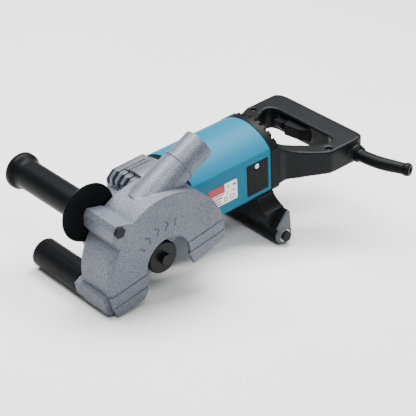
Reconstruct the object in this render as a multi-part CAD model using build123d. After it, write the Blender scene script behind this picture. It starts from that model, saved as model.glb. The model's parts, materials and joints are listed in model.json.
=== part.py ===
from build123d import *
from math import asin, atan2, cos, degrees, hypot, pi, radians, sin
import os

# Twin-disc wall chaser. Lengths in millimetres, angles in degrees.
# It is drawn in the tool frame: origin where the spindle axis crosses the motor axis,
# +X along the motor axis to the rear handle, +Y away from the disc side, +Z up.
# place() then leans it back until the guard's front edge and the rear roller stand on z = 0.

# ---- driving dimensions -------------------------------------------------------------
GUARD_R = 87.0                    # outer radius of the guard, about the spindle
GUARD_WALL = 4.0
GUARD_NEAR, GUARD_FAR = -110.0, -56.5
GUARD_LEAN = 8.4                  # guard base against the motor axis, as it is set here
GUARD_BASE = 27.4                 # spindle axis to the guard's base line
HOUSING_W, HOUSING_TOP, HOUSING_BOTTOM = 48.0, 52.0, -49.0
FLAT_TOP, FLAT_BOTTOM = 30.0, -27.0
GEAR_END, BAFFLE_END, MOTOR_END, COVER_END = 82.0, 91.0, 217.0, 230.0
BORE_R = 45.0                     # inside of the motor housing
HANDLE_W = 80.0                   # half width of the rear handle
HANDLE_REAR = 355.5
HANDLE_TOP, HANDLE_BOTTOM = 8.5, -23.5
HANDLE_SPLIT = -7.0
GRIP_X, GRIP_Z, GRIP_R = -67.0, 72.0, 17.8
FRONT_ROLLER_X, FRONT_ROLLER_Z, FRONT_ROLLER_R = -72.0, -24.0, 18.3
REAR_ROLLER_X, REAR_ROLLER_Z, REAR_ROLLER_R = 214.0, -83.4, 13.3
FOOT_Y = 73.0
NOZZLE_ANGLE, NOZZLE_OFFSET, NOZZLE_R = 25.2, 68.5, 18.8
NOZZLE_Y, NOZZLE_END = -80.0, 118.0
NECK_R = 30.0                     # bearing box neck that carries the guard
TEETH_PINION, TEETH_GEAR, MODULE = 11, 38, 1.5
RUN = 0.05                        # radial running clearance
PAD_TOE = (-88.5, -27.4)          # lowest front point of the guard, in the guard's own frame

os.makedirs("parts", exist_ok=True)
nodes = {}


# ---- helpers ------------------------------------------------------------------------
def cyl_x(r, x0, x1, y=0.0, z=0.0):
    return Pos((x0 + x1) / 2, y, z) * Rot(0, 90, 0) * Cylinder(r, x1 - x0)


def cyl_y(r, y0, y1, x=0.0, z=0.0):
    return Pos(x, (y0 + y1) / 2, z) * Rot(90, 0, 0) * Cylinder(r, y1 - y0)


def cyl_z(r, z0, z1, x=0.0, y=0.0):
    return Pos(x, y, (z0 + z1) / 2) * Cylinder(r, z1 - z0)


def block(x0, x1, y0, y1, z0, z1):
    return Pos((x0 + x1) / 2, (y0 + y1) / 2, (z0 + z1) / 2) * Box(x1 - x0, y1 - y0, z1 - z0)


def hex_y(flats, y0, y1, x=0.0, z=0.0):
    face = Plane((x, y0, z), x_dir=(1, 0, 0), z_dir=(0, 1, 0)) * RegularPolygon(
        flats / 2, 6, major_radius=False)
    return extrude(face, y1 - y0)


def hex_x(flats, x0, x1, y=0.0, z=0.0):
    face = Plane((x0, y, z), x_dir=(0, 1, 0), z_dir=(1, 0, 0)) * RegularPolygon(
        flats / 2, 6, major_radius=False)
    return extrude(face, x1 - x0)


def prism_y(points, y0, y1):
    """Solid between two y planes whose outline is a list of (x, z) corners."""
    face = make_face(Polyline(*[(x, y0, z) for x, z in points], close=True))
    return extrude(face, y1 - y0, dir=(0, 1, 0))


def prism_z(points, z0, z1):
    """Solid between two z planes whose outline is a list of (x, y) corners."""
    face = make_face(Polyline(*[(x, y, z0) for x, y in points], close=True))
    return extrude(face, z1 - z0, dir=(0, 0, 1))


def turned_y(profile, x=0.0, z=0.0):
    """Solid of revolution about a Y-parallel axis, from (radius, y) corners."""
    face = make_face(Polyline(*[(r, y, 0) for r, y in profile], close=True))
    return Pos(x, 0, z) * revolve(face, Axis.Y)


def turned_x(profile, y=0.0, z=0.0):
    """Solid of revolution about an X-parallel axis, from (x, radius) corners."""
    face = make_face(Polyline(*[(x, r, 0) for x, r in profile], close=True))
    return Pos(0, y, z) * revolve(face, Axis.X)


def screw_x(head_r, shank_r, x0, x1, y, z, head=4.0):
    """Cylinder-head screw along X with its head ending at x0, towards x1."""
    step = head if x1 > x0 else -head
    low, high = sorted((x0, x0 + step))
    low2, high2 = sorted((x0 + step, x1))
    recess = hex_x(shank_r * 1.4, *sorted((x0, x0 + step * 0.5)), y, z)
    return cyl_x(head_r, low, high, y, z) + cyl_x(shank_r, low2, high2, y, z) - recess


def fused(shapes):
    total = shapes[0]
    for shape in shapes[1:]:
        total = total + shape
    return total


def add(name, *shapes):
    """Register a node: one solid, or a group of identical separate solids."""
    nodes[name] = list(shapes)


def housing_section(x0, x1, grow=0.0, round_edge=7.0):
    """The motor housing's outline, flat-sided with arched top and bottom, between x0 and x1."""
    w, top, bottom = HOUSING_W + grow, HOUSING_TOP + grow, HOUSING_BOTTOM - grow
    outline = Line((x0, -w, FLAT_BOTTOM), (x0, -w, FLAT_TOP))
    outline += ThreePointArc((x0, -w, FLAT_TOP), (x0, 0, top), (x0, w, FLAT_TOP))
    outline += Line((x0, w, FLAT_TOP), (x0, w, FLAT_BOTTOM))
    outline += ThreePointArc((x0, w, FLAT_BOTTOM), (x0, 0, bottom), (x0, -w, FLAT_BOTTOM))
    solid = extrude(make_face(outline), x1 - x0, dir=(1, 0, 0))
    long_edges = [e for e in solid.edges() if e.geom_type == GeomType.LINE
                  and abs(e.length - (x1 - x0)) < 1e-3]
    return fillet(long_edges, round_edge)


# ---- motor housing, baffle ring and rear cover --------------------------------------
SCREW_SPOTS = [(y, z) for y in (-40.5, 40.5) for z in (-28.0, 30.5)]
HATCH_X, HATCH_Z, HATCH_DEPTH = (177.0, 212.0), (-21.5, 21.8), 2.4
BRUSH_X = 194.0
HATCH_SCREW = (193.5, 16.7)       # x, z of the screw that holds each hatch


def motor_housing():
    body = housing_section(BAFFLE_END, MOTOR_END) - cyl_x(BORE_R, BAFFLE_END, MOTOR_END)
    for side in (-1, 1):
        y_out = side * HOUSING_W
        y_in = side * (HOUSING_W - HATCH_DEPTH)
        low, high = sorted((y_out, y_in))
        body -= block(HATCH_X[0], HATCH_X[1], low, high, HATCH_Z[0], HATCH_Z[1])
        low, high = sorted((y_out, side * 40.0))
        body -= block(BRUSH_X - 9, BRUSH_X + 9, low, high, -12, 12)
        low, high = sorted((y_in, side * 43.0))
        body -= cyl_y(1.6, low, high, *HATCH_SCREW)
    for y, z in SCREW_SPOTS:
        body -= cyl_x(2.2, BAFFLE_END, BAFFLE_END + 22, y, z)
        body -= cyl_x(2.2, MOTOR_END - 22, MOTOR_END, y, z)
    return body


add("motor_housing", motor_housing())


def baffle_ring():
    ring = housing_section(GEAR_END, BAFFLE_END, -1.2) - cyl_x(43.0, GEAR_END, BAFFLE_END)
    for y, z in SCREW_SPOTS:
        ring -= cyl_x(2.2, GEAR_END, BAFFLE_END, y, z)
    return ring


add("baffle_ring", baffle_ring())

REAR_SEAT_R = 11.0


def rear_cover():
    body = housing_section(MOTOR_END, COVER_END, 0.8)
    body -= cyl_x(BORE_R, MOTOR_END, COVER_END - 5)
    body += cyl_x(16, COVER_END - 14, COVER_END - 5)
    body -= cyl_x(REAR_SEAT_R, COVER_END - 14, COVER_END - 5)
    body -= cyl_x(6, COVER_END - 5, COVER_END - 2)
    for i in range(12):
        angle = radians(30 * i + 15)
        body -= cyl_x(6.0, COVER_END - 5, COVER_END, 30 * cos(angle), 30 * sin(angle))
    # row of square notches along the top of the rear edge
    for i in range(9):
        y = -38.0 + 9.5 * i
        z = HOUSING_TOP + 0.8 - (y / 48.0) ** 2 * 21.0
        body -= block(COVER_END - 4.0, COVER_END, y - 2.1, y + 2.1, z - 4.0, z + 6)
    for y, z in SCREW_SPOTS:
        body -= cyl_x(2.6, MOTOR_END, COVER_END, y, z)
        body -= cyl_x(4.4, COVER_END - 5, COVER_END, y, z)
    return body


add("rear_cover", rear_cover())
add("housing_screws", *[screw_x(4.2, 2.2, COVER_END - 0.5, MOTOR_END - 20, y, z)
                        for y, z in SCREW_SPOTS])


def brush_cover(side):
    low, high = sorted((side * (HOUSING_W + 0.4), side * (HOUSING_W - HATCH_DEPTH)))
    x0, x1 = HATCH_X[0] + 0.3, HATCH_X[1] - 0.3
    plate = block(x0, x1, low, high, HATCH_Z[0] + 0.3, HATCH_Z[1] - 0.3)
    plate = fillet(plate.edges().filter_by(Axis.Y), 1.5)
    seat = sorted((side * (HOUSING_W + 0.4), side * (HOUSING_W - 0.8)))
    return plate - cyl_y(4.6, *seat, *HATCH_SCREW) - cyl_y(1.8, low, high, *HATCH_SCREW)


def brush_screw(side):
    x, z = HATCH_SCREW
    head = cyl_y(3.4, *sorted((side * (HOUSING_W + 0.6), side * (HOUSING_W - 0.8))), x, z)
    shank = cyl_y(1.5, *sorted((side * (HOUSING_W - 0.8), side * 43.2)), x, z)
    slot_depth = sorted((side * (HOUSING_W + 0.6), side * (HOUSING_W - 0.1)))
    return head + shank - block(x - 3.5, x + 3.5, *slot_depth, z - 0.5, z + 0.5)


add("brush_cover_near", brush_cover(-1))
add("brush_cover_far", brush_cover(1))
add("brush_cover_screws", brush_screw(-1), brush_screw(1))
COMMUTATOR_R = 16.0


def brush_holder(side):
    low, high = sorted((side * 20.0, side * 44.0))
    tube = block(BRUSH_X - 8, BRUSH_X + 8, low, high, -8, 8)
    return tube - block(BRUSH_X - 5, BRUSH_X + 5, low, high, -4, 4)


add("brush_holders", brush_holder(-1), brush_holder(1))
add("carbon_brushes", *[block(BRUSH_X - 4.9, BRUSH_X + 4.9, *sorted((s * 16.4, s * 32.0)), -3.9, 3.9)
                        for s in (-1, 1)])
add("brush_springs", *[cyl_y(3.0, *sorted((s * 32.0, s * 43.5)), BRUSH_X)
                       - cyl_y(2.2, *sorted((s * 32.0, s * 43.5)), BRUSH_X) for s in (-1, 1)])
add("rating_plate", fillet(block(114, 160, -HOUSING_W - 0.5, -HOUSING_W, -13.5, 14.0)
                           .edges().filter_by(Axis.Y), 1.5))


# ---- stator and armature ------------------------------------------------------------
def stator():
    return cyl_x(BORE_R - 0.04, 118, 168) - cyl_x(25.6, 118, 168) - coil_room()


def coil_room():
    """The two slots in the laminations that the field coils fill."""
    slot = cyl_x(36, 118, 168) - cyl_x(25.6, 118, 168)
    return fused([slot & block(118, 168, -12, 12, 20, 40), slot & block(118, 168, -12, 12, -40, -20)])


def field_coils():
    coils = []
    for sign in (1, -1):
        ring = cyl_x(36, 112, 174) - cyl_x(26.2, 112, 174)
        low, high = sorted((sign * 20, sign * 40))
        coils.append(ring & block(112, 174, -12, 12, low, high))
    return coils


add("stator", stator())
add("field_coils", *field_coils())

SHAFT_R = 6.0
NOSE_START = 22.0                 # the pinion's seat stops short of the big gear's tooth tips
armature_shaft = cyl_x(SHAFT_R, 32, 212) + cyl_x(5.0, NOSE_START, 32) + cyl_x(4.0, 212, 224.5)
add("armature_shaft", armature_shaft)


def armature_core():
    core = cyl_x(24.9, 119, 167) - cyl_x(SHAFT_R, 119, 167)
    for i in range(12):
        core -= Rot(30 * i, 0, 0) * block(119, 167, -1.3, 1.3, 17, 25)
    return core


add("armature_core", armature_core())
add("armature_windings", *[cyl_x(21.5, a, b) - cyl_x(SHAFT_R, a, b) for a, b in ((111, 119), (167, 177))])


def commutator():
    bars = cyl_x(COMMUTATOR_R, 184, 205) - cyl_x(SHAFT_R, 184, 205)
    for i in range(24):
        bars -= Rot(15 * i, 0, 0) * block(184, 205, -0.3, 0.3, 14.6, 16.5)
    return bars


add("commutator", commutator())


def cooling_fan():
    fan = cyl_x(42, 107, 109) + cyl_x(12, 96, 107)
    blade = block(96, 107, -0.8, 0.8, 11, 41)
    fan += fused([Rot(36 * i, 0, 0) * blade for i in range(10)])
    return fan - cyl_x(SHAFT_R, 96, 109)


add("cooling_fan", cooling_fan())


def ball_bearing_x(bore_r, outer_r, x0, x1):
    """A ball bearing drawn as its two races joined by shields."""
    mid = (bore_r + outer_r) / 2
    ring = cyl_x(outer_r, x0, x1) - cyl_x(bore_r, x0, x1)
    groove = cyl_x(mid + 1.6, x0, x0 + 0.8) - cyl_x(mid - 1.6, x0, x0 + 0.8)
    return ring - groove - Pos(x1 - x0 - 0.8, 0, 0) * groove


add("front_bearing", ball_bearing_x(SHAFT_R + RUN, 16, 68, 78))
add("rear_bearing", ball_bearing_x(4.0 + RUN, REAR_SEAT_R, COVER_END - 13, COVER_END - 6))


# ---- bevel gears --------------------------------------------------------------------
PITCH_PINION = MODULE * TEETH_PINION / 2
PITCH_GEAR = MODULE * TEETH_GEAR / 2
CONE = hypot(PITCH_PINION, PITCH_GEAR)
FACE_SHARE = 0.68                 # inner end of the teeth as a share of the cone distance
ADDENDUM, DEDENDUM = 1.1 * MODULE * 0.8, 1.25 * MODULE
TOOTH = pi * MODULE / 2 * 0.78    # tooth thickness at the pitch line


def bevel_gear(teeth, axial, radial, phase, back, hub_r, bore_r):
    """A straight bevel gear about +Z with its cone's tip at the origin.

    axial and radial give the pitch point at the big end, and the body reaches back beyond it.
    """
    along = (radial / CONE, axial / CONE)
    rise = (along[1], -along[0])

    def corner(height, side, share):
        r = (radial + height * rise[0]) * share
        z = (axial + height * rise[1]) * share
        return (r, side * share, z)

    slope = 0.38
    tip, foot = TOOTH / 2 - ADDENDUM * slope, TOOTH / 2 + DEDENDUM * slope
    quad = [(-DEDENDUM - 0.3, -foot), (-DEDENDUM - 0.3, foot), (ADDENDUM, tip), (ADDENDUM, -tip)]
    big = make_face(Polyline(*[corner(h, s, 1) for h, s in quad], close=True))
    small = make_face(Polyline(*[corner(h, s, FACE_SHARE) for h, s in quad], close=True))
    tooth = loft([big, small], ruled=True)
    root_big = corner(-DEDENDUM, 0, 1)
    root_small = corner(-DEDENDUM, 0, FACE_SHARE)
    outline = [(0, root_small[2]), (root_small[0], root_small[2]), (root_big[0], root_big[2]),
               (root_big[0] - 0.6, root_big[2] + 1.5), (hub_r, root_big[2] + 1.5), (hub_r, back),
               (0, back)]
    body = revolve(make_face(Polyline(*[(r, 0, z) for r, z in outline], close=True)), Axis.Z)
    body += fused([Rot(0, 0, 360 * (i + phase) / teeth) * tooth for i in range(teeth)])
    return body - Cylinder(bore_r, 200)


pinion = bevel_gear(TEETH_PINION, PITCH_GEAR, PITCH_PINION, 0.0, 32.0, 7.6, 5.0)
# the pinion's axis turns from +Z to +X, and one tooth points at the big gear (-Y)
add("pinion", Rot(0, 90, 0) * Rot(0, 0, -90) * pinion)
gear = bevel_gear(TEETH_GEAR, PITCH_PINION, PITCH_GEAR, 0.5, 19.0, 15.0, 8.5)
add("bevel_gear", Rot(90, 0, 0) * gear)

# ---- gear housing and bearing box ---------------------------------------------------
CASE_NEAR, CASE_FAR = -22.0, 34.0
CASE_R = 41.0
FIN_TOP, FIN_FRONT, FIN_KINK = 46.5, 27.0, 6.5
FIN_PITCH = 10.2


def gear_housing():
    # barrel round the bevel gear, domed towards the far side, and the bell that meets the motor
    body = turned_y([(0, CASE_NEAR), (CASE_R, CASE_NEAR), (CASE_R, 2), (36, 16), (26, CASE_FAR),
                     (0, CASE_FAR)])
    body += block(0, GEAR_END, CASE_NEAR, 30, -36, 27)
    bell = housing_section(44, GEAR_END, -0.4)
    kink_x = FIN_FRONT + FIN_KINK + 1
    cowl = prism_y([(FIN_FRONT, 10), (FIN_FRONT, FIN_TOP - FIN_KINK), (kink_x, FIN_TOP),
                    (GEAR_END, FIN_TOP + 1), (GEAR_END, 10)], -36, 37)
    far_top = cowl.edges().filter_by(lambda e: abs(e.center().Y - 37) < 0.1 and e.center().Z > 42)
    cowl = chamfer(far_top, 3.6)
    body += bell + cowl
    for i in range(7):
        y = -28.5 + FIN_PITCH * i
        # narrow groove in the top that opens into a wide louvre in the kinked front
        body -= block(FIN_FRONT + 4, 76, y - 1.1, y + 1.1, FIN_TOP - 3.0, FIN_TOP + 4)
        body -= block(FIN_FRONT - 2, FIN_FRONT + 9, y - 2.7, y + 2.7, 30.0, FIN_TOP + 4)
    body -= cyl_x(42.5, 79, GEAR_END)
    body -= cyl_x(16, 68, 79) + cyl_x(8.2, 40, 68) + cyl_x(12, 15, 45)
    body -= cyl_y(33, CASE_NEAR, -1) + cyl_y(24, -1, 14) + cyl_y(8, 14, 28)
    # spot face that the bearing box and its screw heads sit in
    body -= cyl_y(CASE_R + 2.5, -60, CASE_NEAR)
    for x, z in BOX_BOLTS:
        body -= cyl_y(2.1, CASE_NEAR, CASE_NEAR + 12, x, z)
    for y, z in SCREW_SPOTS:
        body -= cyl_x(2.4, 40, GEAR_END, y, z)
        body -= cyl_x(4.6, 40, 70, y, z)
    return body


BOX_BOLTS = [(x, z) for x in (-26.5, 26.5) for z in (-26.5, 26.5)]
add("gear_housing", gear_housing())
add("gear_case_screws", *[screw_x(4.2, 2.2, 66, BAFFLE_END + 20, y, z) for y, z in SCREW_SPOTS])

BOX_NEAR, NECK_END = -30.0, -55.0


def bearing_box():
    box = cyl_y(41, BOX_NEAR, CASE_NEAR) + cyl_y(NECK_R, NECK_END, BOX_NEAR)
    box -= cyl_y(20, -48, -36) + cyl_y(10.5, NECK_END, CASE_NEAR) + cyl_y(16, -36, CASE_NEAR)
    for x, z in BOX_BOLTS:
        box -= cyl_y(2.6, BOX_NEAR, CASE_NEAR, x, z)
    return box


def box_screw(x, z):
    head = cyl_y(4.2, BOX_NEAR - 4, BOX_NEAR, x, z) - hex_y(4, BOX_NEAR - 4, BOX_NEAR - 2, x, z)
    return head + cyl_y(2.1, BOX_NEAR, CASE_NEAR + 11, x, z)


add("bearing_box", bearing_box())
add("bearing_box_screws", *[box_screw(x, z) for x, z in BOX_BOLTS])
add("spindle_bearing", cyl_y(20, -48, -36) - cyl_y(8.5 + RUN, -48, -36)
    - (cyl_y(16, -36.8, -36) - cyl_y(12, -36.8, -36)))
add("spindle_needle_bush", cyl_y(8, 14, 26) - cyl_y(6 + RUN, 14, 26))

# ---- spindle, flanges and disc spacers ----------------------------------------------
FLANGE_R, FLANGE_FACE, ARBOR_R = 20.5, -100.0, 11.1
spindle = cyl_y(6, 4, 27) + cyl_y(8.5, -62, 4) + cyl_y(ARBOR_R, -92, -62) - cyl_y(4, -92, -66)
add("spindle", spindle)
add("inner_flange", turned_y([(8.5, -62), (21, -62), (21, -59), (15, -55.5), (8.5, -55.5)]))
add("disc_spacers", *[cyl_y(20, y, y + 10) - cyl_y(ARBOR_R, y, y + 10) for y in (-72, -82, -92)])
add("outer_flange", turned_y([(4.2, -92), (FLANGE_R, -92), (FLANGE_R, -98.6), (FLANGE_R - 1.4, FLANGE_FACE),
                              (4.2, FLANGE_FACE)]))
add("flange_bolt", hex_y(13, FLANGE_FACE - 6.5, FLANGE_FACE) + cyl_y(3.95, FLANGE_FACE, -68))


# ---- guard --------------------------------------------------------------------------
def lean(shape):
    """Turn a shape from the guard's own frame, base horizontal, to its setting."""
    return Rot(0, -GUARD_LEAN, 0) * shape


ARCH_R = 32.0
ARCH = [(-38, -60), (-36, -18), (-29, 14), (0, 20), (21, 22), (31.5, -15), (40, -60)]
BAND_TOP = 2.3                    # level of the ledge and groove round the front of the base
PAD_FRONT, PAD_FAR, EAR_FAR = -93.0, -61.0, -49.0
RIM_ROUND, RIM_CHAMFER = 3.0, 1.2


def guard_outer(r, y0, y1):
    """Disc of radius r between two y planes with the guard's base cut off, in the guard's frame."""
    below = prism_y([(-200, -GUARD_BASE), (20, -GUARD_BASE), (44, -24.5), (120, -15.5), (120, -200),
                     (-200, -200)], y0 - 1, y1 + 1)
    return cyl_y(r, y0, y1) - below


def nozzle_frame():
    """Location at the nozzle axis's nearest point to the spindle, +Z along the nozzle."""
    a = radians(NOZZLE_ANGLE)
    spot = (-NOZZLE_OFFSET * sin(a), NOZZLE_Y, NOZZLE_OFFSET * cos(a))
    return Plane(spot, x_dir=(-sin(a), 0, cos(a)), z_dir=(cos(a), 0, sin(a)))


CONE_END, NOZZLE_BORE = 84.0, 15.8


def nozzle_outside():
    frame = nozzle_frame()
    root_r, drop = 25.5, 7.0
    cone = loft([frame.offset(14) * Pos(-drop, 0) * Circle(root_r),
                 frame.offset(CONE_END) * Circle(NOZZLE_R + 0.9)])
    pipe = extrude(frame.offset(CONE_END) * Circle(NOZZLE_R), NOZZLE_END - CONE_END)
    ring = extrude(frame.offset(CONE_END - 2.4) * Circle(NOZZLE_R + 1.7), 2.4)
    return cone + pipe + ring


def nozzle_inside():
    frame = nozzle_frame()
    cone = loft([frame.offset(8) * Pos(-7.0, 0) * Circle(21.5), frame.offset(86) * Circle(NOZZLE_BORE)])
    return cone + extrude(frame.offset(86) * Circle(NOZZLE_BORE), NOZZLE_END - 86)


def grip_lug():
    """Block on the guard's front shoulder that takes the side grip's bolt."""
    outline = [(-70, 80), (-49, 74.5), (-36, 60), (-55, 40), (-69.5, 49), (-75.5, 60), (-75, 74)]
    return prism_y(outline, GUARD_NEAR, GUARD_FAR)


def roller_pad():
    """Thick pad round the front of the base, with the ear that carries the front roller."""
    u, w = PAD_TOE
    pad = prism_y([(-70, BAND_TOP), (PAD_FRONT + 0.5, BAND_TOP), (PAD_FRONT, -19), (u, w), (-70, w)],
                  GUARD_NEAR + 7, PAD_FAR)
    ear = prism_y([(-58, BAND_TOP), (-84, BAND_TOP), (PAD_FRONT, -1.5), (PAD_FRONT, -17), (u, -22),
                   (-58, -24)], PAD_FAR, EAR_FAR)
    return lean(pad + ear)


def guard_shell():
    shell = guard_outer(GUARD_R, GUARD_NEAR, GUARD_FAR)
    rims = [e for e in shell.edges() if e.geom_type == GeomType.CIRCLE and e.radius > GUARD_R - 1]
    shell = fillet([e for e in rims if e.center().Y > GUARD_FAR - 0.5], RIM_ROUND)
    near = [e for e in shell.edges() if e.geom_type == GeomType.CIRCLE and e.center().Y < GUARD_NEAR + 0.5]
    return lean(chamfer(near, RIM_CHAMFER))


def guard_body():
    shell = guard_shell() + nozzle_outside() + grip_lug() + roller_pad()
    # wide bevel on the near rim between the lug and the base band
    bevel = turned_y([(GUARD_R + 4, GUARD_NEAR - 1), (GUARD_R - 6, GUARD_NEAR - 1),
                      (GUARD_R + 4, GUARD_NEAR + 9)])
    shell -= bevel & lean(block(-120, -50, GUARD_NEAR - 2, GUARD_NEAR + 10, BAND_TOP, 58))
    shell += cyl_y(37, GUARD_FAR - 1, -36) + collar_ears()
    inner_r, inner_near, inner_far = GUARD_R - GUARD_WALL, GUARD_NEAR + GUARD_WALL, GUARD_FAR - GUARD_WALL
    cavity = turned_y([(0, inner_near), (inner_r - 3, inner_near), (inner_r, inner_near + 3),
                       (inner_r, inner_far - 2), (inner_r - 2, inner_far), (0, inner_far)])
    cavity += lean(block(4 - inner_r, 70, inner_near, inner_far, -60, -10))
    shell -= cavity
    shell -= nozzle_inside()
    near_wall = (GUARD_NEAR - 1, inner_near + 1)
    shell -= lean(prism_y(ARCH, *near_wall))
    shell -= cyl_y(ARCH_R, *near_wall)
    # rounded inner corner of the front leg
    shell -= lean(prism_y([(-45, -28), (-35, -28), (-35, -20), (-37.2, -20), (-39.5, -24.5)], *near_wall))
    shell -= cyl_y(NECK_R + RUN, inner_far - 1, -35)
    shell -= cyl_y(4.6, GUARD_NEAR - 1, GUARD_FAR + 1, GRIP_X, GRIP_Z)
    shell -= block(-1.5, 1.5, GUARD_FAR, -35, 28, 50)
    shell -= cyl_x(2.6, -14, 14, -43, 42)
    shell -= cyl_y(5.0, inner_far - 1, EAR_FAR + 1, FRONT_ROLLER_X, FRONT_ROLLER_Z)
    # recess inside the front wall for the roller nut
    shell -= cyl_y(9.5, inner_far - 5, inner_far, FRONT_ROLLER_X, FRONT_ROLLER_Z)
    # grooves across the near face of the two legs
    for level, u0, u1 in ((BAND_TOP, -95, -28), (-13.9, -95, -30), (6.8, 24, 95), (-7.6, 29, 95)):
        shell -= lean(block(u0, u1, GUARD_NEAR - 1, GUARD_NEAR + 0.8, level - 0.6, level + 0.6))
    for rotation_mark in direction_marks():
        shell -= rotation_mark
    return shell


def collar_ears():
    """Ears of the split collar that the clamp screw draws together."""
    return block(-11, 11, GUARD_FAR, -36, 30, 49)


def direction_marks():
    """Sunk bars and chevrons on the near face, on an arc about the spindle."""
    radius, marks = 50.0, []
    y0, y1 = GUARD_NEAR - 1, GUARD_NEAR + 0.9
    for angle in (76, 138):
        marks.append(Rot(0, -angle, 0) * block(radius - 5, radius + 5, y0, y1, -0.8, 0.8))
    for angle in (91, 107, 123):
        for turn in (-52, 52):
            arm = block(0, 8, y0, y1, -0.8, 0.8)
            marks.append(Rot(0, -angle, 0) * Pos(radius, 0, -3) * Rot(0, turn - 90, 0) * arm)
    return marks


add("guard_body", guard_body())
add("guard_clamp_screw", cyl_x(2.5, -11, 14, -43, 42) + cyl_x(4.2, -15, -11, -43, 42)
    - hex_x(4, -15, -13, -43, 42))
add("guard_clamp_nut", hex_x(8, 11, 15.5, -43, 42) - cyl_x(2.5, 11, 15.5, -43, 42))

# ---- side grip ----------------------------------------------------------------------
GRIP_ROOT, GRIP_END = -52.1, 76.5
grip = turned_y([(4.6, GRIP_ROOT), (17.0, GRIP_ROOT), (GRIP_R, GRIP_ROOT + 6), (GRIP_R, 57), (18.6, 62),
                 (22.0, 67), (22.5, 69.5), (22.5, 74), (20.5, GRIP_END), (4.6, GRIP_END)], GRIP_X, GRIP_Z)
add("side_grip", grip - cyl_y(8.2, GRIP_END - 8, GRIP_END, GRIP_X, GRIP_Z))
disc_face = GUARD_FAR
disc_profile = [(4.6, disc_face), (15, disc_face), (35.6, disc_face + 1.2), (36, disc_face + 2.4),
                (35, disc_face + 3.8), (14, GRIP_ROOT), (4.6, GRIP_ROOT)]
add("hand_guard_disc", turned_y(disc_profile, GRIP_X, GRIP_Z))
add("grip_bolt", hex_y(12.5, GUARD_NEAR - 3.2, GUARD_NEAR, GRIP_X, GRIP_Z)
    + cyl_y(4.5, GUARD_NEAR, GRIP_END - 2, GRIP_X, GRIP_Z))
add("grip_nut", hex_y(13, GRIP_END - 8, GRIP_END - 2, GRIP_X, GRIP_Z)
    - cyl_y(4.5, GRIP_END - 8, GRIP_END - 2, GRIP_X, GRIP_Z))

# ---- front roller -------------------------------------------------------------------
ROLLER_NEAR, ROLLER_FAR = -48.5, 37.0
roller = turned_y([(5 + RUN, ROLLER_NEAR), (FRONT_ROLLER_R - 1.5, ROLLER_NEAR),
                   (FRONT_ROLLER_R, ROLLER_NEAR + 1.5), (FRONT_ROLLER_R, ROLLER_FAR - 1.5),
                   (FRONT_ROLLER_R - 1.5, ROLLER_FAR), (5 + RUN, ROLLER_FAR)],
                  FRONT_ROLLER_X, FRONT_ROLLER_Z)
add("front_roller", roller)
nut_near, nut_far = GUARD_FAR - GUARD_WALL - 4, GUARD_FAR - GUARD_WALL
axle = cyl_y(5, nut_near, ROLLER_FAR + 0.5, FRONT_ROLLER_X, FRONT_ROLLER_Z)
axle += cyl_y(8, ROLLER_FAR + 0.5, ROLLER_FAR + 3.5, FRONT_ROLLER_X, FRONT_ROLLER_Z)
add("front_roller_axle", axle)
add("front_roller_nut", hex_y(13, nut_near, nut_far, FRONT_ROLLER_X, FRONT_ROLLER_Z)
    - cyl_y(5, nut_near, nut_far, FRONT_ROLLER_X, FRONT_ROLLER_Z))


# ---- rear foot ----------------------------------------------------------------------
def rear_foot():
    web = prism_y([(219.5, -51.5), (224, -51.5), (225, -84), (200, -84), (202, -70)],
                  -FOOT_Y + 4, FOOT_Y - 4)
    saddle = prism_y([(191, -30), (219, -30), (224, -51), (225, -78), (203, -78), (194, -56)], -62, 62)
    # concave shoulders that run from the housing down to the ends of the bar
    for side in (-1, 1):
        saddle -= cyl_x(24, 150, 260, side * 72, -27.5)
        low, high = sorted((side * 48, side * 80))
        saddle -= block(150, 260, low, high, -29, 0)
    foot = web + saddle
    foot -= housing_section(150, MOTOR_END, 0.0)
    foot -= housing_section(MOTOR_END, 260, 0.8)
    foot -= cyl_y(REAR_ROLLER_R + 0.8, -FOOT_Y, FOOT_Y, REAR_ROLLER_X, REAR_ROLLER_Z)
    foot -= block(190, REAR_ROLLER_X, -FOOT_Y, FOOT_Y, -110, REAR_ROLLER_Z)
    for x in (200, 212):
        foot -= cyl_z(2.6, -70, -40, x, 0)
    return foot


add("rear_foot", rear_foot())


def foot_plate(side):
    low, high = sorted((side * FOOT_Y, side * (FOOT_Y - 4)))
    plate = prism_y([(203, -71), (221, -51.5), (224.5, -51.5), (226, -84), (214, -84)], low, high)
    plate += cyl_y(12.6, low, high, REAR_ROLLER_X, REAR_ROLLER_Z)
    return plate - cyl_y(4.2, low, high, REAR_ROLLER_X, REAR_ROLLER_Z)


add("foot_end_plates", foot_plate(-1), foot_plate(1))
add("rear_roller", cyl_y(REAR_ROLLER_R, -FOOT_Y + 4.5, FOOT_Y - 4.5, REAR_ROLLER_X, REAR_ROLLER_Z)
    - cyl_y(4 + RUN, -FOOT_Y + 4.5, FOOT_Y - 4.5, REAR_ROLLER_X, REAR_ROLLER_Z))
WASHER, FOOT_HEAD = 1.2, 4.2
head_face, head_end = FOOT_Y + WASHER, FOOT_Y + WASHER + FOOT_HEAD
rod = cyl_y(4, -head_face, head_end, REAR_ROLLER_X, REAR_ROLLER_Z)
add("foot_axle_bolt", rod + hex_y(12.5, -head_end, -head_face, REAR_ROLLER_X, REAR_ROLLER_Z))
add("foot_axle_nut", hex_y(12.5, head_face, head_end, REAR_ROLLER_X, REAR_ROLLER_Z)
    - cyl_y(4, head_face, head_end, REAR_ROLLER_X, REAR_ROLLER_Z))
washer = cyl_y(8.5, FOOT_Y, head_face, REAR_ROLLER_X, REAR_ROLLER_Z) - cyl_y(
    4, FOOT_Y, head_face, REAR_ROLLER_X, REAR_ROLLER_Z)
add("foot_washers", washer, Pos(0, -FOOT_Y - head_face, 0) * washer)

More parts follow.
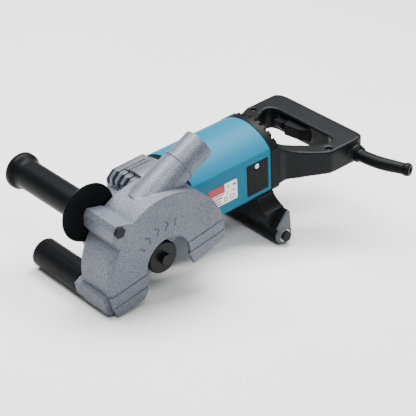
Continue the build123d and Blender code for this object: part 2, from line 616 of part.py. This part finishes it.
# ---- rear handle --------------------------------------------------------------------
BAR_FRONT = 317.5                 # inner face of the cross bar
CORD_X, CORD_Z = 333.0, -10.0     # cord entry, on the near end of the cross bar
BOSS_R, BOSS_END = 11.5, -85.5
END_ROUND, HOLE_ROUND = 2.0, 2.5
HANDLE_PLAN = [(COVER_END, 48), (243, 48), (254, 57), (270, 67), (282, 75), (291, 79.5), (336, HANDLE_W),
               (343, 78.5), (349, 74.5), (352.5, 67), (353.5, 58)]


def handle_blank():
    """Outline seen from above, cut to the outline seen from the side."""
    outline = HANDLE_PLAN + [(HANDLE_REAR, 0)] + [(x, -y) for x, y in reversed(HANDLE_PLAN)]
    blank = prism_z(outline, -40, 40)
    side = prism_y([(COVER_END, -27), (258, -24.5), (284, HANDLE_BOTTOM), (334, HANDLE_BOTTOM), (346, -20),
                    (352.5, -14), (HANDLE_REAR, -7), (HANDLE_REAR, 0), (351.5, 6), (344, HANDLE_TOP),
                    (290, HANDLE_TOP), (270, 11), (254, 14), (243, 18.5), (236, 22.5), (COVER_END, 28)],
                   -100, 100)
    blank = blank & side
    ends = blank.edges().filter_by(Axis.Z).filter_by(lambda e: e.center().X > 285)
    blank = fillet(ends, END_ROUND)
    return blank + cyl_y(BOSS_R, BOSS_END, -70, CORD_X, CORD_Z)


def hand_hole():
    """The opening the hand goes through, between housing, arms and cross bar."""
    half = [(247, 22), (262, 33), (282, 48), (298, 57), (307, 60), (BAR_FRONT - 3.5, 57), (BAR_FRONT, 48)]
    outline = half + [(x, -y) for x, y in reversed(half)]
    hole = prism_z(outline, -50, 50)
    return fillet(hole.edges().filter_by(Axis.Z), HOLE_ROUND)


ROOM_X, ROOM_Z = (323.0, 346.0), (-18.0, 3.5)
MOUTH_Z = (-15.0, 1.5)
LOCK_Y, LOCK_Z = 37.0, -7.0
LOCK_W, LOCK_H = 7.6, 5.0         # half width and half height of the lock button


def lock_block(x0, x1, grow=0.0):
    """The lock button's outline between two x planes, grown all round for its mouth."""
    w, h = LOCK_W + grow, LOCK_H + grow
    return block(x0, x1, LOCK_Y - w, LOCK_Y + w, LOCK_Z - h, LOCK_Z + h)


def handle_shape():
    body = handle_blank() - hand_hole()
    # hollow behind the housing for the wiring
    body -= block(COVER_END, 238, -38, 38, -20, 20)
    # switch room in the cross bar, and the mouths for the trigger and the lock button
    body -= block(*ROOM_X, -46, 30, *ROOM_Z)
    body -= block(BAR_FRONT - 10, ROOM_X[0], -14, 26, *MOUTH_Z)
    body -= lock_block(BAR_FRONT - 2, 322.5, 0.4) + cyl_x(2.9, 322.5, 330, LOCK_Y, LOCK_Z)
    # bore for the cord guard in the bar's near end
    return body - cyl_y(8.2, BOSS_END - 1, -46, CORD_X, CORD_Z)


handle = handle_shape()
SCREWS_FROM_TOP = [(295, -70), (295, 70)]
SCREWS_FROM_BELOW = [(319, -67), (319, 67)]
HEAD_SEAT, LOW_SEAT, SCREW_LENGTH, SCREW_HEAD = 2.0, -17.0, 17.0, 2.6


def handle_half(z0, z1):
    half = handle & block(COVER_END, HANDLE_REAR + 10, -120, 120, z0, z1)
    for x, y in SCREWS_FROM_TOP:
        half -= cyl_z(1.9, HEAD_SEAT - SCREW_LENGTH - 1, HEAD_SEAT, x, y)
        half -= cyl_z(3.6, HEAD_SEAT, 40, x, y)
    for x, y in SCREWS_FROM_BELOW:
        half -= cyl_z(1.9, LOW_SEAT, LOW_SEAT + SCREW_LENGTH + 1.5, x, y)
        half -= cyl_z(3.6, -40, LOW_SEAT, x, y)
    return half


add("handle_upper", handle_half(HANDLE_SPLIT, 60))
add("handle_lower", handle_half(-60, HANDLE_SPLIT))
handle_screw = cyl_z(1.8, -SCREW_LENGTH, 0) + cyl_z(3.3, 0, SCREW_HEAD) - block(-2.4, 2.4, -0.5, 0.5, 1.4, 4)
add("handle_screws", *[Pos(x, y, HEAD_SEAT) * handle_screw for x, y in SCREWS_FROM_TOP],
    *[Pos(x, y, LOW_SEAT) * Rot(180, 0, 0) * handle_screw for x, y in SCREWS_FROM_BELOW])

# ---- switch, trigger and lock button ------------------------------------------------
PIN_X, PIN_Y = 322.0, 20.0
SPRING_Y, SPRING_R = -6.0, 2.6
add("switch_body", block(330, 345.5, -30, 26, ROOM_Z[0], 3.0)
    - cyl_x(SPRING_R, 330, 337, SPRING_Y, LOCK_Z))
finger = prism_z([(305, 22), (311, 25.4), (326, 25.4), (326, -13.4), (319, -13.4), (309, -2)],
                 MOUTH_Z[0] + 0.5, MOUTH_Z[1] - 0.5)
add("trigger", finger - cyl_z(2.05, -20, 10, PIN_X, PIN_Y))
add("trigger_pin", cyl_z(2.0, *MOUTH_Z, PIN_X, PIN_Y))
# the spring is drawn at the length it has when the trigger is pulled
add("trigger_spring", cyl_x(SPRING_R, 329.6, 337, SPRING_Y, LOCK_Z)
    - cyl_x(SPRING_R - 0.7, 329.6, 337, SPRING_Y, LOCK_Z))
button = lock_block(307, 318.5)
button = chamfer(button.edges().group_by(Axis.X)[0], 2.4)
add("lock_button", button + cyl_x(2.5, 318.5, 326, LOCK_Y, LOCK_Z))


# ---- cord guard ---------------------------------------------------------------------
CORD_R = 4.2                      # bore for the cord
SLEEVE_ROOT, SLEEVE_MID, SLEEVE_TIP = 9.0, 8.2, 7.1
PLUG_R, COLLAR_R = 8.15, 10.4
BEND_START, BEND_R, BEND_ANGLE = -92.0, 110.0, 20.7
TIP_LENGTH, TIP_BALL, TIP_FLAT = 27.0, 8.6, 2.6


def bent(radius):
    """Round bar along the sleeve's bend, which curves towards +X from its start."""
    path = CenterArc((CORD_X + BEND_R, BEND_START, CORD_Z), BEND_R, 180, BEND_ANGLE)
    return sweep(Plane((CORD_X, BEND_START, CORD_Z), z_dir=(0, -1, 0)) * Circle(radius), path=path)


def cord_guard():
    """Tapered rubber sleeve that leaves the cross bar's near end, with a ring at its mouth."""
    a = radians(BEND_ANGLE)
    heading = (sin(a), -cos(a), 0)
    bend_end = (CORD_X + BEND_R * (1 - cos(a)), BEND_START - BEND_R * sin(a), CORD_Z)
    start = Plane(bend_end, z_dir=heading)
    mouth = start.offset(TIP_LENGTH)
    taper = Location(start) * Pos(0, 0, TIP_LENGTH / 2) * Cone(SLEEVE_MID, SLEEVE_TIP, TIP_LENGTH)
    ball = Location(mouth.offset(-2)) * Sphere(TIP_BALL)
    root = turned_y([(0, BOSS_END), (SLEEVE_ROOT, BOSS_END), (SLEEVE_MID, BEND_START), (0, BEND_START)],
                    CORD_X, CORD_Z)
    sleeve = root + bent(SLEEVE_MID) + taper + ball
    # plug inside the handle and the collar against its boss
    sleeve += cyl_y(PLUG_R, BOSS_END, -62, CORD_X, CORD_Z) + cyl_y(COLLAR_R, -88, BOSS_END, CORD_X, CORD_Z)
    sleeve -= extrude(mouth.offset(TIP_FLAT) * Rectangle(40, 40), 20)
    sleeve -= cyl_y(CORD_R, BEND_START, -61, CORD_X, CORD_Z) + bent(CORD_R)
    return sleeve - extrude(start * Circle(CORD_R), TIP_LENGTH + 10)


add("cord_guard", cord_guard())
clamp_ring = cyl_y(8.2, -60.5, -52, CORD_X, CORD_Z) - cyl_y(CORD_R, -60.5, -52, CORD_X, CORD_Z)
add("cord_clamp", clamp_ring & block(320, 350, -61, -51, -30, CORD_Z - 0.6))


# ---- placement and export -----------------------------------------------------------
def stance():
    """Angle of the motor axis when guard toe and rear roller rest on the floor."""
    lean_angle = radians(GUARD_LEAN)
    u, w = PAD_TOE
    dx = REAR_ROLLER_X - (u * cos(lean_angle) - w * sin(lean_angle))
    dz = REAR_ROLLER_Z - (u * sin(lean_angle) + w * cos(lean_angle))
    return -degrees(atan2(dz, dx)) + degrees(asin(REAR_ROLLER_R / hypot(dx, dz)))


TILT = stance()
turned = {name: Compound(children=[Rot(0, -TILT, 0) * s for s in shapes]) for name, shapes in nodes.items()}
boxes = [shape.bounding_box() for shape in turned.values()]
LOW = [min(getattr(b.min, a) for b in boxes) for a in "XYZ"]
HIGH = [max(getattr(b.max, a) for b in boxes) for a in "XYZ"]
SHIFT = (-(LOW[0] + HIGH[0]) / 2, -(LOW[1] + HIGH[1]) / 2, -LOW[2])
print("tilt", round(TILT, 4), "shift", [round(v, 4) for v in SHIFT])
print("size", [round(h - l, 2) for l, h in zip(LOW, HIGH)], "nodes", len(nodes))
for name, shape in turned.items():
    export_step(Pos(*SHIFT) * shape, f"parts/{name}.step")
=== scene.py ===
import json
import math

import bmesh
import bpy
from mathutils import Matrix, Vector

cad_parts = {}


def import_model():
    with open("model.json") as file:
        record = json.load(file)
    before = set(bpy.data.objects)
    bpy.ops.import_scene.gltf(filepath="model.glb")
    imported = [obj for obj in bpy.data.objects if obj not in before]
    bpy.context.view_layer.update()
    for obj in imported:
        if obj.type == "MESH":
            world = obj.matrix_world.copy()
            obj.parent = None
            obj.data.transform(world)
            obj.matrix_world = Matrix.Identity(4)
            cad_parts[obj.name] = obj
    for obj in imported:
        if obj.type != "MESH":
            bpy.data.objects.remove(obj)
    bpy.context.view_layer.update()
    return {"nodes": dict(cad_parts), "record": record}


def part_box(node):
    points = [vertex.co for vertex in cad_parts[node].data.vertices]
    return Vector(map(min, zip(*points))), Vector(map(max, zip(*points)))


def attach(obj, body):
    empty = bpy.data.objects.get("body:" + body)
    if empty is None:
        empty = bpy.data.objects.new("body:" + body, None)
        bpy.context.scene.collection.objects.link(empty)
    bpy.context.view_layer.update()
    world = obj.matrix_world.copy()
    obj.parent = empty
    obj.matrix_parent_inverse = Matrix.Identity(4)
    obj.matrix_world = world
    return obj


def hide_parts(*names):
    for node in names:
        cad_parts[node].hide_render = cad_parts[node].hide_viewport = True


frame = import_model()
NODES, RECORD = frame["nodes"], frame["record"]
SLOT_OF = {part["node"]: part["material_slot"] for part in RECORD["subparts"]}
BODY_OF = {node: body for body, names in RECORD["behaviour"]["bodies"].items() for node in names}

# The tool frame inside the row frame: origin on the spindle, +X along the motor. The outer
# flange is round about the spindle, and its middle lies FLANGE_MIDDLE from the motor axis.
TILT = math.radians(10.8272)
FLANGE_MIDDLE = 0.0960
flange_low, flange_high = (Vector(corner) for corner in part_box("outer_flange"))
SHIFT = (flange_low + flange_high) / 2 + Vector((0.0, FLANGE_MIDDLE, 0.0))
TOOL = Matrix.Translation(SHIFT) @ Matrix.Rotation(-TILT, 4, "Y")


def link(name, data):
    """A new object in the scene, made from a mesh, a light or a camera."""
    obj = bpy.data.objects.new(name, data)
    bpy.context.scene.collection.objects.link(obj)
    return obj


# ---- materials ----------------------------------------------------------------------
GRAIN_DEPTH = 0.0002
ROUGH_DRIFT = 0.06


def new_material(name):
    """A material with an empty shader, its node tree and its coordinates."""
    m = bpy.data.materials.new(name)
    m.use_nodes = True
    t = m.node_tree
    t.nodes.clear()
    out = t.nodes.new("ShaderNodeOutputMaterial")
    bsdf = t.nodes.new("ShaderNodeBsdfPrincipled")
    t.links.new(bsdf.outputs[0], out.inputs[0])
    coord = t.nodes.new("ShaderNodeTexCoord")
    return m, t, bsdf, coord


def noise(t, coord, scale, detail=3.0, stretch=None):
    """Noise over the object's own coordinates, stretched along them if asked."""
    n = t.nodes.new("ShaderNodeTexNoise")
    n.inputs["Scale"].default_value = scale
    n.inputs["Detail"].default_value = detail
    source = coord.outputs["Object"]
    if stretch:
        mapping = t.nodes.new("ShaderNodeMapping")
        mapping.inputs["Scale"].default_value = stretch
        t.links.new(source, mapping.inputs[0])
        source = mapping.outputs[0]
    t.links.new(source, n.inputs["Vector"])
    return n


def ramp(t, source, stops):
    """Colours along a value, from (place, colour) stops."""
    r = t.nodes.new("ShaderNodeValToRGB")
    while len(r.color_ramp.elements) < len(stops):
        r.color_ramp.elements.new(0.5)
    for e, (place, colour) in zip(r.color_ramp.elements, stops):
        e.position = place
        e.color = (*colour, 1)
    t.links.new(source, r.inputs[0])
    return r


def mix(t, factor, a, b):
    """Blend of two colours. The factor and each colour are a value or a socket."""
    m = t.nodes.new("ShaderNodeMix")
    m.data_type = "RGBA"
    for socket, value in ((m.inputs[0], factor), (m.inputs[6], a), (m.inputs[7], b)):
        if isinstance(value, float):
            socket.default_value = value
        elif isinstance(value, tuple):
            socket.default_value = (*value, 1)
        else:
            t.links.new(value, socket)
    return m.outputs[2]


def bump(t, source, strength, edge):
    """Height bump over a rounded-edge normal."""
    b = t.nodes.new("ShaderNodeBump")
    b.inputs["Strength"].default_value = strength
    b.inputs["Distance"].default_value = GRAIN_DEPTH
    t.links.new(source, b.inputs["Height"])
    if edge:
        bevel = t.nodes.new("ShaderNodeBevel")
        bevel.samples = 4
        bevel.inputs["Radius"].default_value = edge
        t.links.new(bevel.outputs[0], b.inputs["Normal"])
    return b.outputs[0]


def surface(name, dark, light, rough, metal=0.0, grain=1800.0, grain_strength=0.25, spread=9.0,
            edge=0.0008, spec=0.5, stretch=None, speckle=0.45, contrast=0.15):
    """A finish with slow colour drift, fine grain in its height and uneven roughness."""
    m, t, bsdf, coord = new_material(name)
    drift = noise(t, coord, spread, 4.0)
    fine = noise(t, coord, grain, 2.0, stretch)
    colour = ramp(t, drift.outputs[0], [(0.3, dark), (0.7, light)])
    darker = tuple(v * 0.8 for v in dark)
    speck = ramp(t, fine.outputs[0], [(0.5 - contrast, darker), (0.5 + contrast, light)])
    blended = mix(t, speckle, colour.outputs[0], speck.outputs[0])
    t.links.new(blended, bsdf.inputs["Base Color"])
    uneven = t.nodes.new("ShaderNodeMapRange")
    uneven.inputs["To Min"].default_value = rough - ROUGH_DRIFT
    uneven.inputs["To Max"].default_value = rough + ROUGH_DRIFT
    t.links.new(drift.outputs[0], uneven.inputs["Value"])
    t.links.new(uneven.outputs[0], bsdf.inputs["Roughness"])
    bsdf.inputs["Metallic"].default_value = metal
    bsdf.inputs["Specular IOR Level"].default_value = spec
    t.links.new(bump(t, fine.outputs[0], grain_strength, edge), bsdf.inputs["Normal"])
    return m


# the rating plate's print in the tool frame: x from, x to, z from, z to
RED_BAND = (0.1135, 0.1400, 0.0030, 0.0145)
PRINT_ROWS = [(0.1425, 0.1580, 0.0070, 0.0100), (0.1165, 0.1570, 0.0002, 0.0018),
              (0.1165, 0.1355, -0.0038, -0.0020), (0.1165, 0.1335, -0.0078, -0.0060),
              (0.1165, 0.1345, -0.0118, -0.0100)]
MARK_BOXES = [(0.1385, 0.1435, -0.0105, -0.0045), (0.1480, 0.1550, -0.0105, -0.0045)]
MARK_LINE = 0.0010
PLATE_DULL, PLATE_BRIGHT, MARK_INSIDE = (0.66, 0.64, 0.64), (0.74, 0.72, 0.73), (0.70, 0.68, 0.69)
RED, INK, MARK_INK = (0.30, 0.004, 0.010), (0.045, 0.043, 0.046), (0.05, 0.05, 0.05)
NO, YES = (0.0, 0.0, 0.0), (1.0, 1.0, 1.0)


def label_material():
    """White plate with a red band, rows of dark print and two outlined boxes."""
    m, t, bsdf, coord = new_material("label_print")
    local = t.nodes.new("ShaderNodeMapping")
    local.vector_type = "TEXTURE"
    local.inputs["Location"].default_value = SHIFT
    local.inputs["Rotation"].default_value = (0, -TILT, 0)
    t.links.new(coord.outputs["Object"], local.inputs[0])
    split = t.nodes.new("ShaderNodeSeparateXYZ")
    t.links.new(local.outputs[0], split.inputs[0])

    def math_node(operation, a, b):
        n = t.nodes.new("ShaderNodeMath")
        n.operation = operation
        t.links.new(a, n.inputs[0])
        if isinstance(b, float):
            n.inputs[1].default_value = b
        else:
            t.links.new(b, n.inputs[1])
        return n.outputs[0]

    def between(socket, a, b):
        return math_node("MULTIPLY", math_node("GREATER_THAN", socket, a), math_node("LESS_THAN", socket, b))

    def inside(x0, x1, z0, z1):
        return math_node("MULTIPLY", between(split.outputs[0], x0, x1), between(split.outputs[2], z0, z1))

    paper = noise(t, coord, 400.0)
    colour = ramp(t, paper.outputs[0], [(0.3, PLATE_DULL), (0.7, PLATE_BRIGHT)]).outputs[0]
    colour = mix(t, inside(*RED_BAND), colour, RED)
    words = noise(t, coord, 260.0, 1.0, (1.0, 0.05, 0.02))
    gate = ramp(t, words.outputs[0], [(0.40, NO), (0.42, YES)]).outputs[0]
    for row in PRINT_ROWS:
        colour = mix(t, math_node("MULTIPLY", inside(*row), gate), colour, INK)
    for x0, x1, z0, z1 in MARK_BOXES:
        colour = mix(t, inside(x0, x1, z0, z1), colour, MARK_INK)
        hollow = inside(x0 + MARK_LINE, x1 - MARK_LINE, z0 + MARK_LINE, z1 - MARK_LINE)
        colour = mix(t, hollow, colour, MARK_INSIDE)
    t.links.new(colour, bsdf.inputs["Base Color"])
    bsdf.inputs["Roughness"].default_value = 0.45
    return m


# each finish: its darker and lighter colour, its roughness, then what differs from surface()'s defaults
FINISHES = {
    "housing_blue": ((0.0015, 0.100, 0.172), (0.0022, 0.112, 0.190), 0.46,
                     {"grain": 2600.0, "grain_strength": 0.10, "edge": 0.0020, "spec": 0.12}),
    "black_plastic": ((0.002, 0.0023, 0.0026), (0.0035, 0.004, 0.0045), 0.42,
                      {"grain": 2400.0, "grain_strength": 0.22, "edge": 0.0015, "spec": 0.08}),
    "handle_plastic": ((0.003, 0.0035, 0.004), (0.005, 0.0057, 0.0063), 0.36,
                       {"grain": 2400.0, "grain_strength": 0.20, "edge": 0.0, "spec": 0.11}),
    "rubber_black": ((0.002, 0.0024, 0.0028), (0.0035, 0.0039, 0.0044), 0.36,
                     {"grain": 2200.0, "grain_strength": 0.20, "edge": 0.0010, "spec": 0.06}),
    "cast_silver": ((0.030, 0.036, 0.048), (0.155, 0.168, 0.205), 0.40,
                    {"metal": 0.30, "grain": 760.0, "grain_strength": 0.9, "edge": 0.0016, "spec": 0.3,
                     "speckle": 0.75, "contrast": 0.2}),
    "foot_black": ((0.003, 0.0034, 0.004), (0.006, 0.0064, 0.007), 0.36,
                   {"grain": 1900.0, "grain_strength": 0.25, "edge": 0.0012, "spec": 0.08}),
    "foot_grey": ((0.060, 0.072, 0.080), (0.085, 0.098, 0.106), 0.48,
                  {"metal": 0.3, "grain": 1500.0, "grain_strength": 0.3, "edge": 0.0008, "spec": 0.3}),
    "zinc_steel": ((0.50, 0.51, 0.53), (0.60, 0.61, 0.62), 0.30,
                   {"metal": 1.0, "grain": 900.0, "grain_strength": 0.12, "edge": 0.0004}),
    "black_steel": ((0.004, 0.0045, 0.005), (0.008, 0.0085, 0.009), 0.36,
                    {"metal": 0.1, "grain": 1500.0, "grain_strength": 0.2, "edge": 0.0006, "spec": 0.12}),
    "ground_steel": ((0.45, 0.46, 0.48), (0.58, 0.58, 0.60), 0.24,
                     {"metal": 1.0, "grain": 1200.0, "grain_strength": 0.1, "edge": 0.0004,
                      "stretch": (1, 8, 1)}),
    "lamination": ((0.16, 0.16, 0.17), (0.24, 0.24, 0.25), 0.5,
                   {"metal": 0.8, "grain": 900.0, "grain_strength": 0.4, "edge": 0.0, "stretch": (6, 1, 1)}),
    "copper": ((0.48, 0.20, 0.10), (0.62, 0.30, 0.16), 0.35,
               {"metal": 0.9, "grain": 900.0, "grain_strength": 0.5, "edge": 0.0}),
    "carbon": ((0.012, 0.012, 0.012), (0.022, 0.022, 0.022), 0.6, {"grain": 2500.0, "edge": 0.0}),
    "fan_white": ((0.55, 0.55, 0.50), (0.66, 0.66, 0.62), 0.5, {"grain": 1500.0, "edge": 0.0006}),
}
FINISH = {name: surface(name, dark, light, rough, **more)
          for name, (dark, light, rough, more) in FINISHES.items()}
FINISH["label_white"] = label_material()


def dress(obj, finish):
    """Give a whole object one finish."""
    obj.data.materials.clear()
    obj.data.materials.append(FINISH[finish])


# ---- detailed copies of the moulded and cast pieces -----------------------------------
WELD = 2e-6                               # vertices nearer than this are one
FLAT = math.radians(0.8)                  # faces that turn less than this are one
TURN = math.radians(30.0)                 # edges that turn more than this are rounded


def stands_in(piece, nodes, finish):
    """Dress a piece and show it in the place of CAD nodes of one body."""
    dress(piece, finish)
    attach(piece, BODY_OF[nodes[0]])
    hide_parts(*nodes)


def refined(node, width, finish):
    """A copy of a CAD node with truly rounded edges, shown in its place."""
    mesh = NODES[node].data.copy()
    piece = link(node + "_rounded", mesh)
    b = bmesh.new()
    b.from_mesh(mesh)
    bmesh.ops.remove_doubles(b, verts=b.verts, dist=WELD)
    bmesh.ops.dissolve_limit(b, angle_limit=FLAT, verts=b.verts, edges=b.edges)
    b.to_mesh(mesh)
    b.free()
    bevel = piece.modifiers.new("edges", "BEVEL")
    bevel.width = width
    bevel.segments = 3
    bevel.limit_method = "ANGLE"
    bevel.angle_limit = TURN
    for face in mesh.polygons:
        face.use_smooth = True
    mesh.set_sharp_from_angle(angle=TURN)
    piece.modifiers.new("normals", "WEIGHTED_NORMAL")
    stands_in(piece, [node], finish)
    return piece


def drill(piece, place, radius, depth):
    """Cut a round recess down into a piece at a place given in the tool frame."""
    mesh = bpy.data.meshes.new("drill")
    b = bmesh.new()
    bmesh.ops.create_cone(b, cap_ends=True, segments=32, radius1=radius, radius2=radius, depth=depth,
                          matrix=TOOL @ Matrix.Translation(Vector(place)))
    b.to_mesh(mesh)
    b.free()
    cutter = link("drill", mesh)
    cut = piece.modifiers.new("drill", "BOOLEAN")
    cut.operation = "DIFFERENCE"
    cut.object = cutter
    return cutter


def settle(piece, cutters):
    """Turn a piece's modifiers into its own mesh and drop the cutters."""
    bpy.context.view_layer.update()
    shaped = piece.evaluated_get(bpy.context.evaluated_depsgraph_get())
    piece.data = bpy.data.meshes.new_from_object(shaped)
    piece.modifiers.clear()
    for cutter in cutters:
        bpy.data.objects.remove(cutter)


def moulded(name, nodes, finish, holes):
    """One softly rounded moulding in the place of several CAD nodes of the same body."""
    mesh = bpy.data.meshes.new(name)
    b = bmesh.new()
    for node in nodes:
        b.from_mesh(NODES[node].data)
    bmesh.ops.remove_doubles(b, verts=b.verts, dist=WELD)
    b.to_mesh(mesh)
    b.free()
    piece = link(name, mesh)
    skin = piece.modifiers.new("skin", "REMESH")
    skin.mode = "VOXEL"
    skin.voxel_size = 0.0013
    skin.use_smooth_shade = True
    soft = piece.modifiers.new("soft", "SMOOTH")
    soft.factor = 0.5
    soft.iterations = 16
    light = piece.modifiers.new("light", "DECIMATE")
    light.ratio = 0.4
    settle(piece, [drill(piece, *hole) for hole in holes])
    stands_in(piece, nodes, finish)


for name, obj in NODES.items():
    dress(obj, SLOT_OF[name])

# the upper pair of screw recesses in the handle, in the tool frame
RECESS_X, RECESS_Y, RECESS_Z = 0.295, 0.070, 0.0070
RECESS_R, RECESS_DEPTH = 0.0040, 0.0092
moulded("handle_moulding", ("handle_upper", "handle_lower"), "handle_plastic",
        [((RECESS_X, side * RECESS_Y, RECESS_Z), RECESS_R, RECESS_DEPTH) for side in (-1, 1)])

for name, width, finish in (("gear_housing", 0.0010, "cast_silver"), ("rear_foot", 0.0016, "foot_black"),
                            ("foot_end_plates", 0.0008, "foot_grey")):
    refined(name, width, finish)

# the guard's collar turns against the gear housing's cowl, so its far face keeps a little clear
COLLAR_FACE, COLLAR_GAP, ON_FACE = -0.0360, 0.0002, 0.00006
guard = refined("guard_body", 0.0011, "cast_silver")
for vertex in guard.data.vertices:
    if abs(vertex.co.y - SHIFT.y - COLLAR_FACE) < ON_FACE:
        vertex.co.y -= COLLAR_GAP


# ---- floor, light and camera ----------------------------------------------------------
TOOL_MIDDLE = Vector((0.0, 0.0, 0.1))


def floor():
    """A plain pale floor, far larger than the tool."""
    mesh = bpy.data.meshes.new("floor")
    half = 6.0
    mesh.from_pydata([(-half, -half, 0), (half, -half, 0), (half, half, 0), (-half, half, 0)],
                     [], [(0, 1, 2, 3)])
    obj = link("floor", mesh)
    m, t, bsdf, coord = new_material("floor_white")
    drift = noise(t, coord, 3.0)
    colour = ramp(t, drift.outputs[0], [(0.3, (0.63, 0.63, 0.63)), (0.7, (0.66, 0.66, 0.66))])
    t.links.new(colour.outputs[0], bsdf.inputs["Base Color"])
    bsdf.inputs["Roughness"].default_value = 0.85
    mesh.materials.append(m)


def softbox(name, place, size, power):
    """A rectangular light at a place, turned to the tool's middle."""
    light = bpy.data.lights.new(name, "AREA")
    light.shape = "RECTANGLE"
    light.size, light.size_y = size
    light.energy = power
    obj = link(name, light)
    obj.location = place
    obj.rotation_euler = (TOOL_MIDDLE - Vector(place)).to_track_quat("-Z", "Y").to_euler()


def world():
    """Even white light from all round."""
    w = bpy.data.worlds.new("studio")
    bpy.context.scene.world = w
    w.use_nodes = True
    background = w.node_tree.nodes["Background"]
    background.inputs[0].default_value = (1.0, 1.0, 1.0, 1)
    background.inputs[1].default_value = 0.45


def camera():
    """A long lens in front of the disc side and above it, rolled a little, in the tool frame."""
    azimuth, height, roll = math.radians(-39.45), math.radians(33.0), math.radians(-2.95)
    back = Vector((math.sin(azimuth) * math.cos(height), -math.cos(azimuth) * math.cos(height),
                   math.sin(height)))
    right = (-back).cross(Vector((0, 0, 1))).normalized()
    up = right.cross(-back)
    turned_right = right * math.cos(roll) + up * math.sin(roll)
    turned_up = up * math.cos(roll) - right * math.sin(roll)
    basis = Matrix((turned_right, turned_up, back)).transposed().to_4x4()
    basis.translation = Vector((-0.9502, -1.3396, 1.0786))
    data = bpy.data.cameras.new("camera")
    data.sensor_width = 36.0
    data.lens = 142.78846
    obj = link("camera", data)
    obj.matrix_world = TOOL @ basis
    bpy.context.scene.camera = obj


floor()
world()
softbox("key", (-0.9, -1.3, 1.9), (1.0, 1.0), 42)
softbox("top", (0.1, 0.5, 2.0), (2.6, 1.4), 215)
softbox("side", (1.9, -1.0, 0.9), (1.0, 1.0), 10)
camera()
